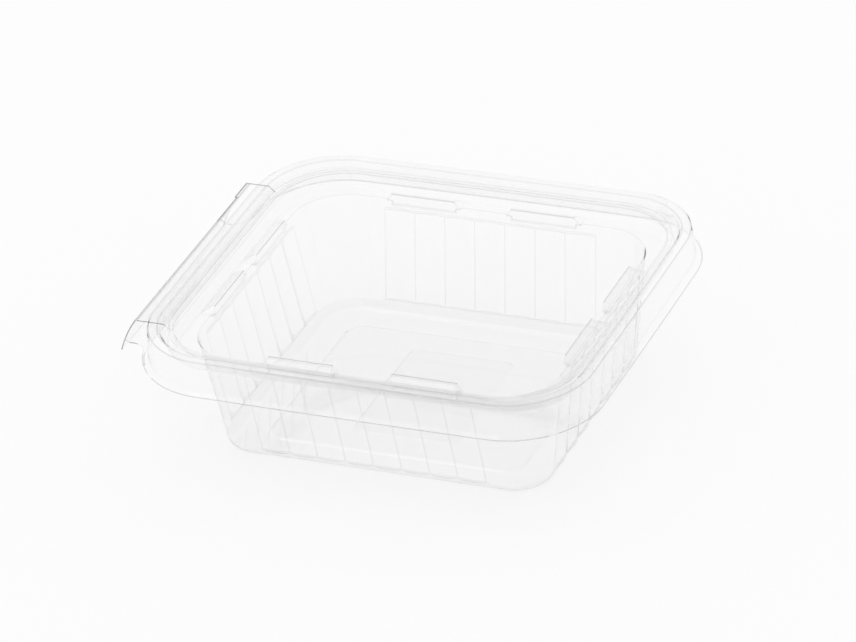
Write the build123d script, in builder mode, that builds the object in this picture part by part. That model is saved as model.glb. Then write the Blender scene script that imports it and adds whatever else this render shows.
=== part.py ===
"""Clear hinged deli pack: a fluted tub with a lid that nests inside its rim.

The pack is formed from one clear sheet. The base is a drafted tub with fluted walls, a
shelf with eight lugs, an upstanding bead round the lid and a skirt that hides the lid's
edge. On the left a sloping strip climbs from the skirt's lip to the fold, where the lid's
plate begins and runs over the bead. Millimetres, +Z up, front towards -Y, fold on -X.
"""
import os
from math import radians, sin, tan
from build123d import *

# Sheet
SHEET = 0.5
CLEARANCE = 0.3

# Rim: the well that takes the lid, the bead round it and the skirt outside
WELL_LENGTH = 174.0
WELL_WIDTH = 152.0
WELL_RADIUS = 25.0
SIDE_BOW = 0.5
BEAD_HEIGHT = 8.0
BEAD_LEAN = 3.0
BEAD_TOP = 5.0
SKIRT_DROP = 12.9
SKIRT_LEAN = 0.9
LIP_WIDTH = 2.4
LIP_DROP = 0.9
WELL_BEND = 1.0
BEAD_INNER_BEND = 1.3
BEAD_OUTER_BEND = 1.0
LIP_BEND = 0.9

# Tub, measured inside at the level of the shelf, which runs round it inside the well
SHELF_HEIGHT = 50.1
SHELF_ENDS = 10.0
SHELF_SIDES = 9.8
TUB_RADIUS = 22.0
DRAFT = 8.5
FOOT_RADIUS = 4.8

# Flutes in the tub's walls, whose front and back rows lean a little along the wall
FLUTE_LOW = 4.7
FLUTE_TOP_BAND = 4.5
FLUTE_BULGE = 1.0
FLUTE_SHIFT = 0.5
FLUTE_LEAN = 1.3
FRONT_FLUTES = 8
FRONT_PITCH = 12.15
BACK_FLUTES = 7
BACK_PITCH = 13.35
SIDE_FLUTES = 7
SIDE_PITCH = 12.3

# Raised panels of the floor, the label's panel on top of the other
PANEL_MARGIN = 13.6
PANEL_RADIUS = 8.0
PANEL_RISE = 0.6
LABEL_LENGTH = 46.4
LABEL_WIDTH = 64.0
LABEL_RADIUS = 4.0
LABEL_RISE = 0.35
PANEL_SLOPE = 60.0

# Lugs on the shelf, two to a side, which stop the lid from sinking
LUG_LENGTH = 33.0
LUG_DEPTH = 7.0
LUG_PROUD = 1.4
LUG_TOP = 1.6
LUG_END = 2.6
LUG_CLEAR = 1.2
LUG_CHIN = 2.4
CHIN_END = 2.2
LUG_SPREAD_X = 26.5
FRONT_LUG_SHIFT = 1.5
BACK_LUG_SHIFT = -0.5
LUG_SPREAD_Y = 20.5

# Lid, whose flange lies inside the bead
LID_GAP = 1.3
LID_RADIUS = 30.0
FLANGE_WIDTH = 2.3
FLANGE_RISE = 6.1
LID_STEP = 1.2

# Fold on the left
FOLD_REACH = 10.8
PLATE_FRONT = -61.0
PLATE_BACK = 50.0
PLATE_EAR = 1.4
PLATE_CLEAR = 0.4
PLATE_LEAN = 1.4
RISER_INSET = 1.5
STRIP_REACH = 8.1
STRIP_DROP = 15.3
STRIP_BULGE = 0.7
STRIP_BACK = 38.0
TAB_FRONT = -55.5
TAB_BACK = 40.0
TAB_NOTCH = 7.0
TAB_CORNER = 0.6
TAB_LAP = 1.0

# Worked out from the sizes above
tub_length = WELL_LENGTH - 2 * SHELF_ENDS
tub_width = WELL_WIDTH - 2 * SHELF_SIDES
foot_inset = SHELF_HEIGHT * tan(radians(DRAFT))
panel_length = tub_length - 2 * foot_inset - 2 * PANEL_MARGIN
panel_width = tub_width - 2 * foot_inset - 2 * PANEL_MARGIN
bead_height = SHELF_HEIGHT + BEAD_HEIGHT
shelf_inset = WELL_BEND + SHEET
skirt_reach = BEAD_LEAN + BEAD_TOP + SKIRT_LEAN
lip_reach = skirt_reach + LIP_WIDTH
lip_height = bead_height - SKIRT_DROP - LIP_DROP
flange_height = SHELF_HEIGHT + FLANGE_RISE
lid_reach = BEAD_LEAN * FLANGE_RISE / BEAD_HEIGHT - LID_GAP
lid_length = WELL_LENGTH + 2 * lid_reach
lid_width = WELL_WIDTH + 2 * lid_reach
lid_underside = flange_height - LID_STEP - SHEET
lug_height = lid_underside - LUG_CLEAR - SHELF_HEIGHT
plate_height = bead_height + PLATE_CLEAR + SHEET
fold_x = -WELL_LENGTH / 2 - FOLD_REACH


def inset_at(height):
    """How far the drafted wall has come in at a height, from its place at the shelf."""
    return (SHELF_HEIGHT - height) * tan(radians(DRAFT))


def bowed_outline(length, width, radius, inset=0):
    """A rounded rectangle with gently bowed sides, drawn in by an inset."""
    right = length / 2 - inset
    back = width / 2 - inset
    x = right - SIDE_BOW
    y = back - SIDE_BOW
    with BuildLine() as sides:
        ThreePointArc((-x, -y), (0, -back), (x, -y))
        ThreePointArc((x, -y), (right, 0), (x, y))
        ThreePointArc((x, y), (0, back), (-x, y))
        ThreePointArc((-x, y), (-right, 0), (-x, -y))
    outline = make_face(sides.edges())
    fillet(outline.vertices(), radius - inset)


def plain_outline(height, grow):
    """The tub's smooth outline at a height, grown outwards."""
    inset = inset_at(height) - grow
    RectangleRounded(tub_length - 2 * inset, tub_width - 2 * inset, TUB_RADIUS - inset)


def on_side(angle, along, out):
    """A point of an outline's side, which is turned from the front by an angle."""
    return Vector(along, -out).rotate(Axis.Z, angle)


def fluted_outline(height, grow):
    """The tub's outline at a height with a run of scallops in each side, grown outwards."""
    inset = inset_at(height) - grow
    x = tub_length / 2 - inset
    y = tub_width / 2 - inset
    radius = TUB_RADIUS - inset
    shift = -FLUTE_SHIFT - FLUTE_LEAN * height / SHELF_HEIGHT
    sides = (
        (0, y, x, FRONT_FLUTES, FRONT_PITCH, shift),
        (90, x, y, SIDE_FLUTES, SIDE_PITCH, 0),
        (180, y, x, BACK_FLUTES, BACK_PITCH, shift),
        (270, x, y, SIDE_FLUTES, SIDE_PITCH, 0),
    )
    with BuildLine() as flutes:
        for angle, out, half, count, pitch, middle in sides:
            run = half - radius
            fitting = min(count, int(2 * (run - abs(middle)) / pitch))
            cusps = [middle + pitch * (i - fitting / 2) for i in range(fitting + 1)]
            Line(on_side(angle, -run, out), on_side(angle, cusps[0], out))
            for near, far in zip(cusps[:-1], cusps[1:]):
                crown = on_side(angle, (near + far) / 2, out + FLUTE_BULGE)
                ThreePointArc(on_side(angle, near, out), crown, on_side(angle, far, out))
            Line(on_side(angle, cusps[-1], out), on_side(angle, run, out))
            turn = radius * sin(radians(45))
            corner = on_side(angle, run + turn, out - radius + turn)
            ThreePointArc(on_side(angle, run, out), corner, on_side(angle, half, out - radius))
    make_face(flutes.edges())


def panel_form(length, width, radius, rise):
    """What a raised panel of the floor pushes up, from a little below the floor's level."""
    low = -SHEET / 2
    with BuildPart() as panel:
        for height in (low, rise):
            inset = height * tan(radians(PANEL_SLOPE))
            with BuildSketch(Plane.XY.offset(height)):
                RectangleRounded(length - 2 * inset, width - 2 * inset, radius - inset)
        loft(ruled=True)
    return panel.part


def tub_form(grow, top):
    """The tub as a solid up to a height: panelled floor, rounded foot and fluted wall.

    Grown by the sheet it is the outside of the tub, and not grown it is the inside, which
    starts a sheet higher.
    """
    lift = SHEET - grow
    low = FLUTE_LOW + lift
    high = SHELF_HEIGHT - FLUTE_TOP_BAND - lift
    with BuildPart() as form:
        with BuildSketch(Plane.XY.offset(lift)):
            plain_outline(lift, grow)
        with BuildSketch(Plane.XY.offset(top)):
            plain_outline(top, grow)
        loft(ruled=True)
        fillet(form.edges().group_by(Axis.Z)[0], FOOT_RADIUS + grow)
        with BuildSketch(Plane.XY.offset(low)):
            fluted_outline(low, grow)
        with BuildSketch(Plane.XY.offset(high)):
            fluted_outline(high, grow)
        loft(ruled=True)
        with Locations((0, 0, lift)):
            add(panel_form(panel_length, panel_width, PANEL_RADIUS, PANEL_RISE), mode=Mode.SUBTRACT)
        with Locations((0, 0, lift + PANEL_RISE)):
            add(panel_form(LABEL_LENGTH, LABEL_WIDTH, LABEL_RADIUS, LABEL_RISE), mode=Mode.SUBTRACT)
    return form.part


def rim_section():
    """The rim's strip of sheet: shelf, bead, skirt and lip, measured from the well's foot."""
    with BuildLine() as strip:
        FilletPolyline(
            (-2 * shelf_inset, SHELF_HEIGHT),
            (0, SHELF_HEIGHT),
            (BEAD_LEAN, bead_height),
            (BEAD_LEAN + BEAD_TOP, bead_height),
            (skirt_reach, bead_height - SKIRT_DROP),
            (lip_reach, lip_height),
            radius=(WELL_BEND, BEAD_INNER_BEND, BEAD_OUTER_BEND, LIP_BEND),
        )
        offset(amount=SHEET, side=Side.RIGHT)
    make_face(strip.edges())


def lug_form(skin):
    """One lug with its chin, less a skin, lying along X with the tub on +Y.

    It is measured from the shelf's inner edge. The face towards the tub stands upright, and
    the ends and the back slope up to the narrow top.
    """
    face = LUG_PROUD - skin
    foot_depth = LUG_DEPTH - skin - skin / 2
    top_depth = LUG_TOP - skin - skin / 2
    length = LUG_LENGTH - skin
    chin_back = -SHEET / 2 - 3 * skin
    with BuildPart() as lug:
        with BuildSketch(Plane.XY.offset(-SHEET / 2 - skin)):
            with Locations((0, face - foot_depth / 2)):
                Rectangle(length, foot_depth)
        with BuildSketch(Plane.XY.offset(lug_height - skin)):
            with Locations((0, face - top_depth / 2)):
                Rectangle(length - 2 * LUG_END, top_depth)
        loft(ruled=True)
        with BuildSketch(Plane.XY.offset(skin - LUG_CHIN)):
            with Locations((0, (face + chin_back) / 2)):
                Rectangle(length - 2 * CHIN_END, face - chin_back)
        extrude(amount=LUG_CHIN - skin)
    return lug.part


def lug_places():
    """Where each lug stands on the shelf's inner edge, two to a side."""
    out_x = tub_length / 2
    out_y = tub_width / 2
    places = []
    for side in (-1, 1):
        front = side * LUG_SPREAD_X + FRONT_LUG_SHIFT
        back = side * LUG_SPREAD_X + BACK_LUG_SHIFT
        places.append(Location((front, -out_y, SHELF_HEIGHT), (0, 0, 0)))
        places.append(Location((back, out_y, SHELF_HEIGHT), (0, 0, 180)))
        places.append(Location((out_x, side * LUG_SPREAD_Y, SHELF_HEIGHT), (0, 0, 90)))
        places.append(Location((-out_x, side * LUG_SPREAD_Y, SHELF_HEIGHT), (0, 0, 270)))
    return places


def tab_form():
    """The lip widened under the strip, with a rounded notch at each end, lapping the lip."""
    outer = fold_x - STRIP_REACH
    inner = -WELL_LENGTH / 2
    middle = (TAB_FRONT + TAB_BACK) / 2
    half = (TAB_BACK - TAB_FRONT) / 2
    with BuildPart() as tab:
        with BuildSketch(Plane.XY.offset(lip_height)) as outline:
            bowed_outline(WELL_LENGTH, WELL_WIDTH, WELL_RADIUS, -lip_reach)
            with Locations(((outer + inner) / 2, middle)):
                Rectangle(inner - outer, 2 * half)
            ends = outline.vertices().filter_by(lambda v: abs(abs(v.Y - middle) - half) < CLEARANCE)
            ends = ends.sort_by(Axis.X)
            fillet(ends[2:4], TAB_NOTCH)
            fillet(outline.vertices().sort_by(Axis.X)[0:2], TAB_CORNER)
            with Locations(((outer + inner) / 2, middle)):
                Rectangle(inner - outer, 2 * half + 4 * TAB_NOTCH, mode=Mode.INTERSECT)
        extrude(amount=-SHEET)
        with BuildSketch(Plane.XY.offset(lip_height)):
            bowed_outline(WELL_LENGTH, WELL_WIDTH, WELL_RADIUS, TAB_LAP - lip_reach)
        extrude(amount=-SHEET, mode=Mode.SUBTRACT)
    return tab.part


def strip_section():
    """The sloping strip from the fold down to the tab, bulging a little outwards."""
    top = Vector(fold_x - CLEARANCE / 2, plate_height - CLEARANCE)
    foot = Vector(fold_x - STRIP_REACH, plate_height - STRIP_DROP)
    slope = (foot - top).normalized()
    crown = (top + foot) / 2 + Vector(slope.Y, -slope.X) * STRIP_BULGE
    with BuildLine() as strip:
        ThreePointArc(top, crown, foot)
        offset(amount=SHEET, side=Side.RIGHT)
    make_face(strip.edges())


def plate_form():
    """The lid's plate from the fold over the bead, and the riser along the lid's edge."""
    fold_edge = fold_x + CLEARANCE / 2
    ear_edge = fold_x - PLATE_EAR
    ear_front = STRIP_BACK + CLEARANCE
    inner_edge = -lid_length / 2 + LID_RADIUS
    with BuildSketch(Plane.XY.offset(plate_height)) as reach:
        with Locations(((fold_edge + inner_edge) / 2, (PLATE_FRONT + PLATE_BACK) / 2)):
            Rectangle(inner_edge - fold_edge, PLATE_BACK - PLATE_FRONT)
        with Locations(((ear_edge + inner_edge) / 2, (ear_front + PLATE_BACK) / 2)):
            Rectangle(inner_edge - ear_edge, PLATE_BACK - ear_front)
    with BuildPart() as plate:
        with BuildSketch(Plane.XY.offset(flange_height - SHEET)):
            bowed_outline(lid_length, lid_width, LID_RADIUS, RISER_INSET - SHEET / 2)
        with BuildSketch(Plane.XY.offset(plate_height)):
            bowed_outline(lid_length, lid_width, LID_RADIUS, -PLATE_LEAN - SHEET)
        loft(ruled=True)
        extrude(reach.sketch, amount=-SHEET)
        extrude(reach.sketch, amount=flange_height - SHEET - plate_height, mode=Mode.INTERSECT)
        with BuildSketch(Plane.XY.offset(flange_height)):
            bowed_outline(lid_length, lid_width, LID_RADIUS, RISER_INSET)
        with BuildSketch(Plane.XY.offset(plate_height)):
            bowed_outline(lid_length, lid_width, LID_RADIUS, -PLATE_LEAN)
        loft(ruled=True, mode=Mode.SUBTRACT)
    return plate.part


# Base
with BuildSketch() as well:
    bowed_outline(WELL_LENGTH, WELL_WIDTH, WELL_RADIUS)
rim_path = well.sketch.face().outer_wire()
rim_heading = rim_path % 0
rim_out = rim_heading.cross(Vector(0, 0, 1))
lug_outside = lug_form(0)
lug_inside = lug_form(SHEET)

with BuildPart() as cavity:
    add(tub_form(0, SHELF_HEIGHT + SHEET))
    with Locations(*lug_places()):
        add(lug_outside, mode=Mode.SUBTRACT)

with BuildPart() as base:
    with BuildSketch(Plane(origin=rim_path @ 0, x_dir=rim_out, z_dir=-rim_heading)):
        rim_section()
    sweep(path=rim_path)
    with BuildSketch(Plane.XY.offset(SHELF_HEIGHT)):
        bowed_outline(WELL_LENGTH, WELL_WIDTH, WELL_RADIUS, shelf_inset)
    extrude(amount=-SHEET)
    add(tab_form())
    with BuildSketch(Plane.XZ.offset(-STRIP_BACK)):
        strip_section()
    extrude(amount=STRIP_BACK - PLATE_FRONT)
    add(tub_form(SHEET, SHELF_HEIGHT - SHEET / 2))
    with Locations(*lug_places()):
        add(lug_outside)
    with Locations(*lug_places()):
        add(lug_inside, mode=Mode.SUBTRACT)
    add(cavity.part, mode=Mode.SUBTRACT)

# Lid
with BuildPart() as lid:
    with BuildSketch(Plane.XY.offset(flange_height)):
        bowed_outline(lid_length, lid_width, LID_RADIUS)
    extrude(amount=-SHEET)
    add(plate_form())
    with BuildSketch(Plane.XY.offset(lid_underside)):
        bowed_outline(lid_length, lid_width, LID_RADIUS, FLANGE_WIDTH - SHEET)
    extrude(amount=LID_STEP)
    with BuildSketch(Plane.XY.offset(lid_underside + SHEET)):
        bowed_outline(lid_length, lid_width, LID_RADIUS, FLANGE_WIDTH)
    extrude(amount=LID_STEP + SHEET, mode=Mode.SUBTRACT)

# The pack's box stands centred on the origin
centre_shift = -base.part.bounding_box().center().X
base.part.position = (centre_shift, 0, 0)
lid.part.position = (centre_shift, 0, 0)
base.part.label = "base"
lid.part.label = "lid"

os.makedirs("parts", exist_ok=True)
export_step(base.part, "parts/base.step")
export_step(lid.part, "parts/lid.step")
print("fold at", fold_x + centre_shift, "axis height", plate_height + CLEARANCE / 2)
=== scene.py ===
"""Looks of a clear hinged deli pack on a pale floor, seen from the front right and above."""
import math

import bpy
from mathutils import Matrix, Vector

# Camera, in pixels, degrees and metres
IMAGE_WIDTH = 856
SENSOR_MM = 36.0
FOCAL_PX = 6226.3
CLIP_END = 20.0
VIEW_AZIMUTH = 25.88
VIEW_ELEVATION = 31.04
VIEW_ROLL = -6.12
VIEW_DISTANCE = 2.5007
VIEW_TARGET = (0.00502, 0.0, 0.03696)

# Floor, world and lamp
FLOOR_SIZE = 6.0
FLOOR_LEVEL = -0.0005
FLOOR_GREY = 0.89
FLOOR_ROUGH = 0.9
FLOOR_WHITE = 0.80
WHITE = (1, 1, 1, 1)
WHITE_STRENGTH = 1.0
LAMP_PLACE = (-0.56, -0.09, 1.4)
LAMP_SIZE = 0.5
LAMP_POWER = 0.6

# Where the tub's flutes lie, in metres from the tub's middle
TUB_MIDDLE = 0.004037
SHELF_HEIGHT = 0.0501
FLUTES_LOW = 0.0047
FLUTES_TOP = 0.0456
FLUTE_SHIFT = 0.0005
FLUTE_LEAN = 0.0013
FRONT_PITCH = 0.01215
BACK_PITCH = 0.01335
SIDE_PITCH = 0.0123
FRONT_HALF_COUNT = 4.0
OTHER_HALF_COUNT = 3.5
LONG_WALL = (0.0575, 0.0685)
SHORT_WALL = (0.0685, 0.0795)
RIDGE_HALF_WIDTH = 0.0003
HALF_PITCH = 0.5
ROW_SPARE = 0.1
LEDGES = (0.0045, 0.0050)
FOOT_BAND = (0.0008, 0.0042)

# Where the lugs' tops and the sheet's trimmed edges lie
LUG_TOPS = (0.0529, 0.0534)
INSIDE_X = 0.0761
INSIDE_Y = 0.0653
LIP_UNDERSIDE = 0.0440
RIM_X = 0.088
RIM_Y = 0.078
TAB_START = -0.096
TAB_SPAN = (-0.0635, 0.048)
HINGE_SIDE = -0.085
PLATE_LOW = 0.0555
FOLD_LINE = (-0.0984, -0.0972)
EAR_CUT = -0.0989
EAR_SPAN = (0.0383, 0.051)
END_ON = 0.95

# Outlines of the well and the lid: half length, half width and corner radius
WELL = (0.087, 0.076, 0.025)
LID = (0.08799, 0.07699, 0.030)
SIDE_BOW = 0.0005

# Where painted shade lines go on the rim's bends and the lid's edges, as a band of distance out
# from an outline and one of height
WELL_BEND = ((-0.0003, 0.0003), (0.0494, 0.0506))
BEAD_INNER_BEND = ((0.0031, 0.0037), (0.0574, 0.0590))
BEAD_OUTER_BEND = ((0.0067, 0.0073), (0.0574, 0.0590))
LID_EDGE = ((-0.0004, 0.0002), (0.0555, 0.0563))
LID_STEP = ((-0.0027, -0.0021), (0.0543, 0.0549))

# How much painted shade each line, band and edge below darkens the sheet by, as a share of its
# clear colour
WELL_PAINTED_SHADE = 0.09
BEAD_INNER_PAINTED_SHADE = 0.17
BEAD_OUTER_PAINTED_SHADE = 0.22
LID_PAINTED_SHADE = 0.13
RIDGE_PAINTED_SHADE = 0.07
LEDGE_PAINTED_SHADE = 0.1
FOOT_PAINTED_SHADOW = 0.04
LUG_PAINTED_SHADE = 0.45
CUT_PAINTED_SHADE = 0.75
LIP_PAINTED_SHADE = 0.4
FOLD_PAINTED_SHADE = 0.25

# Painted shade on creases, found by rounding the normal, and on edge-on faces: where it starts
# and how deep it goes
EDGE_PAINTED_SHADE = 0.5
EDGE_RADIUS = 0.0003
EDGE_SAMPLES = 4
EDGE_TURN = 0.25
EDGE_POWER = 1.5
EVEN_BLEND = 0.5
SOFT_GRAZING_SHADE = (0.55, 0.035)
SHARP_GRAZING_SHADE = (0.9, 0.35)

# The sheet: so thin that it hardly bends the view, clear, and glossy on both sides
SHEET_CLEAR = 0.993
SHEET_INDEX = 1.02
SHEET_ROUGH = 0.03
COAT_INDEX = 1.5
SHEET_TINT = (0.5, 0.51, 0.52, 1)
SHEET_ABSORBS = 18.0
WAVE_SCALE = 70.0
WAVE_DETAIL = 2.0
WAVE_ROUGH = 0.4
WAVE_STRENGTH = 0.01
WAVE_HEIGHT = 0.001

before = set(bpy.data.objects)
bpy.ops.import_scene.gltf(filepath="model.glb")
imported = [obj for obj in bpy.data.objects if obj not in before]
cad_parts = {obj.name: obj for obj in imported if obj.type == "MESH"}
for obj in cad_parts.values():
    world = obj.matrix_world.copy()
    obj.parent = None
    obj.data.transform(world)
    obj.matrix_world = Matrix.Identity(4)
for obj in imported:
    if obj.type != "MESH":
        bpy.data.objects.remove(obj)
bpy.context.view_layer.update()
scene = bpy.context.scene


def node_of(tree, kind, **values):
    """Adds a shader node and sets its named inputs."""
    node = tree.nodes.new(kind)
    for name, value in values.items():
        node.inputs[name.replace("_", " ")].default_value = value
    return node


def math_of(tree, operation, first, second=0.0):
    """Adds a math node on two values, which are sockets or plain numbers."""
    node = tree.nodes.new("ShaderNodeMath")
    node.operation = operation
    for socket, value in zip(node.inputs, (first, second)):
        if isinstance(value, bpy.types.NodeSocket):
            tree.links.new(value, socket)
        else:
            socket.default_value = value
    return node.outputs[0]


def both(tree, *factors):
    """1 where all the factors are 1."""
    found = factors[0]
    for factor in factors[1:]:
        found = math_of(tree, "MULTIPLY", found, factor)
    return found


def either(tree, *factors):
    """1 where any of the factors is 1."""
    found = factors[0]
    for factor in factors[1:]:
        found = math_of(tree, "MAXIMUM", found, factor)
    return found


def inverse(tree, factor):
    """1 where a factor is 0, and 0 where it is 1."""
    return math_of(tree, "SUBTRACT", 1.0, factor)


def above(tree, value, limit):
    """1 where a value is over a limit."""
    return math_of(tree, "GREATER_THAN", value, limit)


def below(tree, value, limit):
    """1 where a value is under a limit."""
    return math_of(tree, "LESS_THAN", value, limit)


def within(tree, value, low, high):
    """1 where a value lies between two limits."""
    return both(tree, above(tree, value, low), below(tree, value, high))


def size_of(tree, value):
    """A value without its sign."""
    return math_of(tree, "ABSOLUTE", value)


def opposite(tree, value):
    """A value with its sign turned."""
    return math_of(tree, "MULTIPLY", value, -1.0)


def axes_of(tree, vector):
    """The three parts of a vector socket."""
    split = tree.nodes.new("ShaderNodeSeparateXYZ")
    tree.links.new(vector, split.inputs[0])
    return split.outputs["X"], split.outputs["Y"], split.outputs["Z"]


def flute_row(tree, along, out, pitch, half_count, wall):
    """1 on a wall's row of flutes, and 1 on the ridges between them."""
    count = math_of(tree, "DIVIDE", along, pitch)
    from_ridge = math_of(tree, "PINGPONG", math_of(tree, "ADD", count, half_count), HALF_PITCH)
    in_row = within(tree, count, -half_count - ROW_SPARE, half_count + ROW_SPARE)
    row = both(tree, in_row, within(tree, out, *wall))
    return row, both(tree, row, below(tree, from_ridge, RIDGE_HALF_WIDTH / pitch))


def flutes(tree, x, y, z):
    """1 on the ridges of all four walls, and 1 on the ledges at the flutes' feet."""
    climb = math_of(tree, "DIVIDE", z, SHELF_HEIGHT)
    shift = math_of(tree, "ADD", math_of(tree, "MULTIPLY", climb, FLUTE_LEAN), FLUTE_SHIFT)
    front = opposite(tree, y)
    left = opposite(tree, x)
    ahead = math_of(tree, "ADD", x, shift)
    behind = math_of(tree, "SUBTRACT", x, shift)
    rows, ridges = zip(
        flute_row(tree, ahead, front, FRONT_PITCH, FRONT_HALF_COUNT, LONG_WALL),
        flute_row(tree, behind, y, BACK_PITCH, OTHER_HALF_COUNT, LONG_WALL),
        flute_row(tree, y, x, SIDE_PITCH, OTHER_HALF_COUNT, SHORT_WALL),
        flute_row(tree, y, left, SIDE_PITCH, OTHER_HALF_COUNT, SHORT_WALL),
    )
    on_ridge = both(tree, either(tree, *ridges), within(tree, z, FLUTES_LOW, FLUTES_TOP))
    on_ledge = both(tree, either(tree, *rows), within(tree, z, *LEDGES))
    return on_ridge, on_ledge


def lug_tops(tree, x, y, z):
    """1 on the inner edges of the lugs' tops."""
    inside_x = below(tree, size_of(tree, x), INSIDE_X)
    inside_y = below(tree, size_of(tree, y), INSIDE_Y)
    return both(tree, inside_x, inside_y, within(tree, z, *LUG_TOPS))


def distance_out(tree, x, y, outline):
    """How far a point lies outside a rounded rectangle with slightly bowed sides."""
    half_x, half_y, radius = outline
    over = []
    for value, half, other, other_half in ((x, half_x, y, half_y), (y, half_y, x, half_x)):
        share = math_of(tree, "DIVIDE", other, other_half)
        bow = math_of(tree, "MULTIPLY", both(tree, share, share), -SIDE_BOW)
        side = math_of(tree, "ADD", bow, half + SIDE_BOW - radius)
        over.append(math_of(tree, "SUBTRACT", size_of(tree, value), side))
    past_x, past_y = (math_of(tree, "MAXIMUM", value, 0.0) for value in over)
    squares = math_of(tree, "ADD", both(tree, past_x, past_x), both(tree, past_y, past_y))
    inner = math_of(tree, "MINIMUM", either(tree, *over), 0.0)
    from_corners = math_of(tree, "ADD", math_of(tree, "SQRT", squares), inner)
    return math_of(tree, "SUBTRACT", from_corners, radius)


def ring(tree, distance, z, band):
    """1 in a band of distance out and of height."""
    return both(tree, within(tree, distance, *band[0]), within(tree, z, *band[1]))


def lip_edge(tree, x, y, z):
    """1 on the underside of the rim's lip, except along the tab."""
    past_ends = above(tree, size_of(tree, x), RIM_X)
    past_sides = above(tree, size_of(tree, y), RIM_Y)
    at_tab = both(tree, below(tree, x, TAB_START), within(tree, y, *TAB_SPAN))
    outside = both(tree, either(tree, past_ends, past_sides), inverse(tree, at_tab))
    return both(tree, outside, below(tree, z, LIP_UNDERSIDE))


def cut_ends(tree, x, y, z):
    """1 on the trimmed ends of the plate and strip at the fold, and round the plate's ear."""
    surface = tree.nodes.new("ShaderNodeNewGeometry")
    across = axes_of(tree, surface.outputs["True Normal"])[1]
    end_on = above(tree, size_of(tree, across), END_ON)
    ends = both(tree, end_on, below(tree, x, HINGE_SIDE))
    at_ear = both(tree, below(tree, x, EAR_CUT), within(tree, y, *EAR_SPAN))
    return either(tree, ends, both(tree, at_ear, above(tree, z, PLATE_LOW)))


def fold_line(tree, x, z):
    """1 along the fold between the plate and the strip."""
    return both(tree, within(tree, x, *FOLD_LINE), above(tree, z, PLATE_LOW))


def bent_edges(tree):
    """0 where the sheet is smooth, up to 1 on its creases, by how far a rounded normal turns."""
    rounded = node_of(tree, "ShaderNodeBevel", Radius=EDGE_RADIUS)
    rounded.samples = EDGE_SAMPLES
    surface = tree.nodes.new("ShaderNodeNewGeometry")
    turn = tree.nodes.new("ShaderNodeVectorMath")
    turn.operation = "DOT_PRODUCT"
    tree.links.new(rounded.outputs["Normal"], turn.inputs[0])
    tree.links.new(surface.outputs["Normal"], turn.inputs[1])
    straight = size_of(tree, turn.outputs["Value"])
    edge = math_of(tree, "DIVIDE", inverse(tree, straight), EDGE_TURN)
    edge = math_of(tree, "MINIMUM", math_of(tree, "MAXIMUM", edge, 0.0), 1.0)
    return math_of(tree, "POWER", edge, EDGE_POWER)


def painted_grazing_shade(tree, start, depth):
    """How much painted shade darkens a surface as it turns edge-on, from a start up to a full
    depth.
    """
    tilt = node_of(tree, "ShaderNodeLayerWeight", Blend=EVEN_BLEND)
    ramp = node_of(tree, "ShaderNodeMapRange", From_Min=start, From_Max=1.0, To_Max=depth)
    ramp.interpolation_type = "SMOOTHSTEP"
    tree.links.new(tilt.outputs["Facing"], ramp.inputs["Value"])
    return ramp.outputs["Result"]


def painted_shade(tree, place):
    """Painted shade on the sheet's lines, ends, creases and edge-on faces, and a painted shadow
    round the tub's foot, as a share of its clear colour.
    """
    from_origin, y, z = axes_of(tree, place)
    x = math_of(tree, "SUBTRACT", from_origin, TUB_MIDDLE)
    ridges, ledges = flutes(tree, x, y, z)
    from_well = distance_out(tree, x, y, WELL)
    from_lid = distance_out(tree, x, y, LID)
    lid_lines = [ring(tree, from_lid, z, band) for band in (LID_EDGE, LID_STEP)]
    shade_share = math_of(tree, "ADD", painted_grazing_shade(tree, *SOFT_GRAZING_SHADE), painted_grazing_shade(tree, *SHARP_GRAZING_SHADE))
    for lines, depth in (
        (ring(tree, from_well, z, WELL_BEND), WELL_PAINTED_SHADE),
        (ring(tree, from_well, z, BEAD_INNER_BEND), BEAD_INNER_PAINTED_SHADE),
        (ring(tree, from_well, z, BEAD_OUTER_BEND), BEAD_OUTER_PAINTED_SHADE),
        (either(tree, *lid_lines), LID_PAINTED_SHADE),
        # painted dark lines on the flutes' ridges
        (ridges, RIDGE_PAINTED_SHADE),
        # painted dark lines on the ledges at the flutes' feet
        (ledges, LEDGE_PAINTED_SHADE),
        # painted shadow in a band round the tub's foot
        (within(tree, z, *FOOT_BAND), FOOT_PAINTED_SHADOW),
        # painted dark lines on the inner edges of the lugs' tops
        (lug_tops(tree, x, y, z), LUG_PAINTED_SHADE),
        # painted shade on the underside of the rim's lip
        (lip_edge(tree, x, y, z), LIP_PAINTED_SHADE),
        # painted shade on the trimmed ends at the fold and round the ear
        (cut_ends(tree, x, y, z), CUT_PAINTED_SHADE),
        # painted dark line along the fold
        (fold_line(tree, x, z), FOLD_PAINTED_SHADE),
        # painted shade on the sheet's creases
        (bent_edges(tree), EDGE_PAINTED_SHADE),
    ):
        shade_share = either(tree, shade_share, math_of(tree, "MULTIPLY", lines, depth))
    return shade_share


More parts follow.
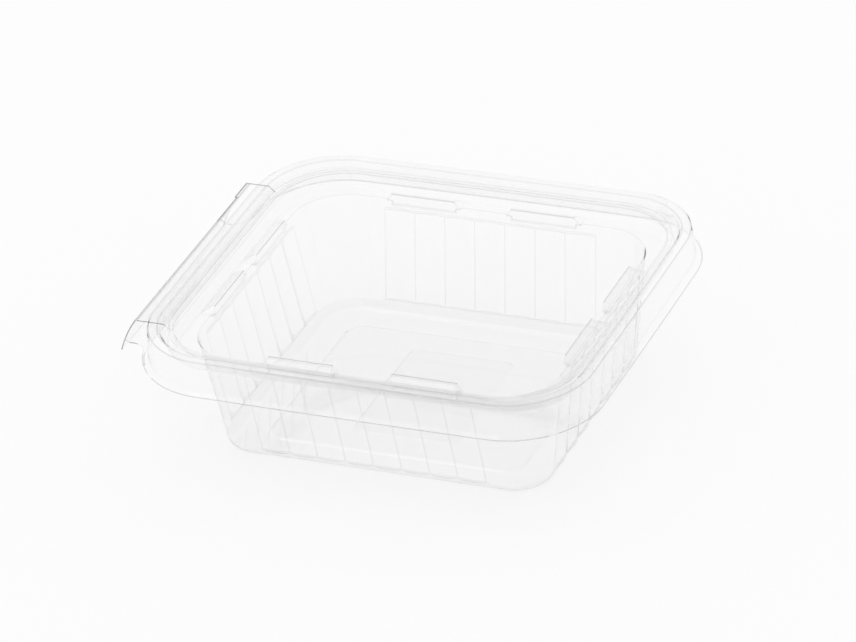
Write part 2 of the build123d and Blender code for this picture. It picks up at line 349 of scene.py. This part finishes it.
def clear_sheet():
    """Clear glossy formed sheet with faint waves, and painted shade along its lines."""
    material = bpy.data.materials.new("clear_sheet")
    material.use_nodes = True
    tree = material.node_tree
    shader = tree.nodes["Principled BSDF"]
    shader.inputs["Base Color"].default_value = (SHEET_CLEAR, SHEET_CLEAR, SHEET_CLEAR, 1)
    shader.inputs["Roughness"].default_value = SHEET_ROUGH
    shader.inputs["IOR"].default_value = SHEET_INDEX
    shader.inputs["Transmission Weight"].default_value = 1.0
    shader.inputs["Coat Weight"].default_value = 1.0
    shader.inputs["Coat Roughness"].default_value = SHEET_ROUGH
    shader.inputs["Coat IOR"].default_value = COAT_INDEX
    haze = node_of(tree, "ShaderNodeVolumeAbsorption", Color=SHEET_TINT, Density=SHEET_ABSORBS)
    tree.links.new(haze.outputs["Volume"], tree.nodes["Material Output"].inputs["Volume"])
    place = tree.nodes.new("ShaderNodeTexCoord").outputs["Object"]
    waves = node_of(
        tree, "ShaderNodeTexNoise", Scale=WAVE_SCALE, Detail=WAVE_DETAIL, Roughness=WAVE_ROUGH
    )
    bump = node_of(tree, "ShaderNodeBump", Strength=WAVE_STRENGTH, Distance=WAVE_HEIGHT)
    tree.links.new(place, waves.inputs["Vector"])
    tree.links.new(waves.outputs["Fac"], bump.inputs["Height"])
    tree.links.new(bump.outputs["Normal"], shader.inputs["Normal"])
    # The base colour is the sheet's clear colour with the painted shade taken off.
    clear = math_of(tree, "MULTIPLY", inverse(tree, painted_shade(tree, place)), SHEET_CLEAR)
    tree.links.new(clear, shader.inputs["Base Color"])
    return material


def seen_directly(tree):
    """1 for what the camera sees, in the open, in gloss or through the pack."""
    path = tree.nodes.new("ShaderNodeLightPath")
    kinds = ("Is Camera Ray", "Is Glossy Ray", "Is Transmission Ray")
    return either(tree, *(path.outputs[kind] for kind in kinds))


def pale_floor():
    """White floor that keeps a faint shadow, and is white where the camera sees it."""
    material = bpy.data.materials.new("pale_floor")
    material.use_nodes = True
    tree = material.node_tree
    shader = tree.nodes["Principled BSDF"]
    shader.inputs["Base Color"].default_value = (FLOOR_GREY, FLOOR_GREY, FLOOR_GREY, 1)
    shader.inputs["Roughness"].default_value = FLOOR_ROUGH
    white = node_of(tree, "ShaderNodeEmission", Strength=WHITE_STRENGTH)
    mix = tree.nodes.new("ShaderNodeMixShader")
    share = math_of(tree, "MULTIPLY", seen_directly(tree), FLOOR_WHITE)
    tree.links.new(share, mix.inputs[0])
    tree.links.new(shader.outputs[0], mix.inputs[1])
    tree.links.new(white.outputs[0], mix.inputs[2])
    tree.links.new(mix.outputs[0], tree.nodes["Material Output"].inputs["Surface"])
    return material


def white_world():
    """A plain white world round the scene."""
    world = bpy.data.worlds.new("studio")
    world.use_nodes = True
    backdrop = world.node_tree.nodes["Background"]
    backdrop.inputs["Color"].default_value = WHITE
    backdrop.inputs["Strength"].default_value = WHITE_STRENGTH
    return world


def softbox():
    """A weak square lamp overhead on the left, which shows as soft gloss."""
    lamp_data = bpy.data.lights.new("softbox", "AREA")
    lamp_data.shape = "SQUARE"
    lamp_data.size = LAMP_SIZE
    lamp_data.energy = LAMP_POWER
    lamp = bpy.data.objects.new("softbox", lamp_data)
    lamp.location = LAMP_PLACE
    lamp.rotation_euler = (-Vector(LAMP_PLACE)).to_track_quat("-Z", "Y").to_euler()
    return lamp


def photo_camera():
    """A camera at the photograph's viewing angle, with its roll."""
    azimuth = math.radians(VIEW_AZIMUTH)
    elevation = math.radians(VIEW_ELEVATION)
    roll = math.radians(VIEW_ROLL)
    back = Vector((
        math.sin(azimuth) * math.cos(elevation),
        -math.cos(azimuth) * math.cos(elevation),
        math.sin(elevation),
    ))
    right = Vector((0, 0, 1)).cross(back).normalized()
    up = back.cross(right)
    view_right = math.cos(roll) * right + math.sin(roll) * up
    view_up = math.cos(roll) * up - math.sin(roll) * right
    turn = Matrix((view_right, view_up, back)).transposed().to_4x4()
    camera_data = bpy.data.cameras.new("camera")
    camera_data.sensor_width = SENSOR_MM
    camera_data.lens = FOCAL_PX / IMAGE_WIDTH * SENSOR_MM
    camera_data.clip_end = CLIP_END
    camera = bpy.data.objects.new("camera", camera_data)
    camera.matrix_world = Matrix.Translation(Vector(VIEW_TARGET) + back * VIEW_DISTANCE) @ turn
    return camera


sheet = clear_sheet()
for name in ("base", "lid"):
    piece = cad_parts[name]
    piece.data.materials.clear()
    piece.data.materials.append(sheet)

bpy.ops.mesh.primitive_plane_add(size=FLOOR_SIZE, location=(0, 0, FLOOR_LEVEL))
floor = bpy.context.object
floor.name = "floor"
floor.data.materials.append(pale_floor())

scene.world = white_world()
scene.collection.objects.link(softbox())
scene.camera = photo_camera()
scene.collection.objects.link(scene.camera)

scene.view_settings.view_transform = "Standard"
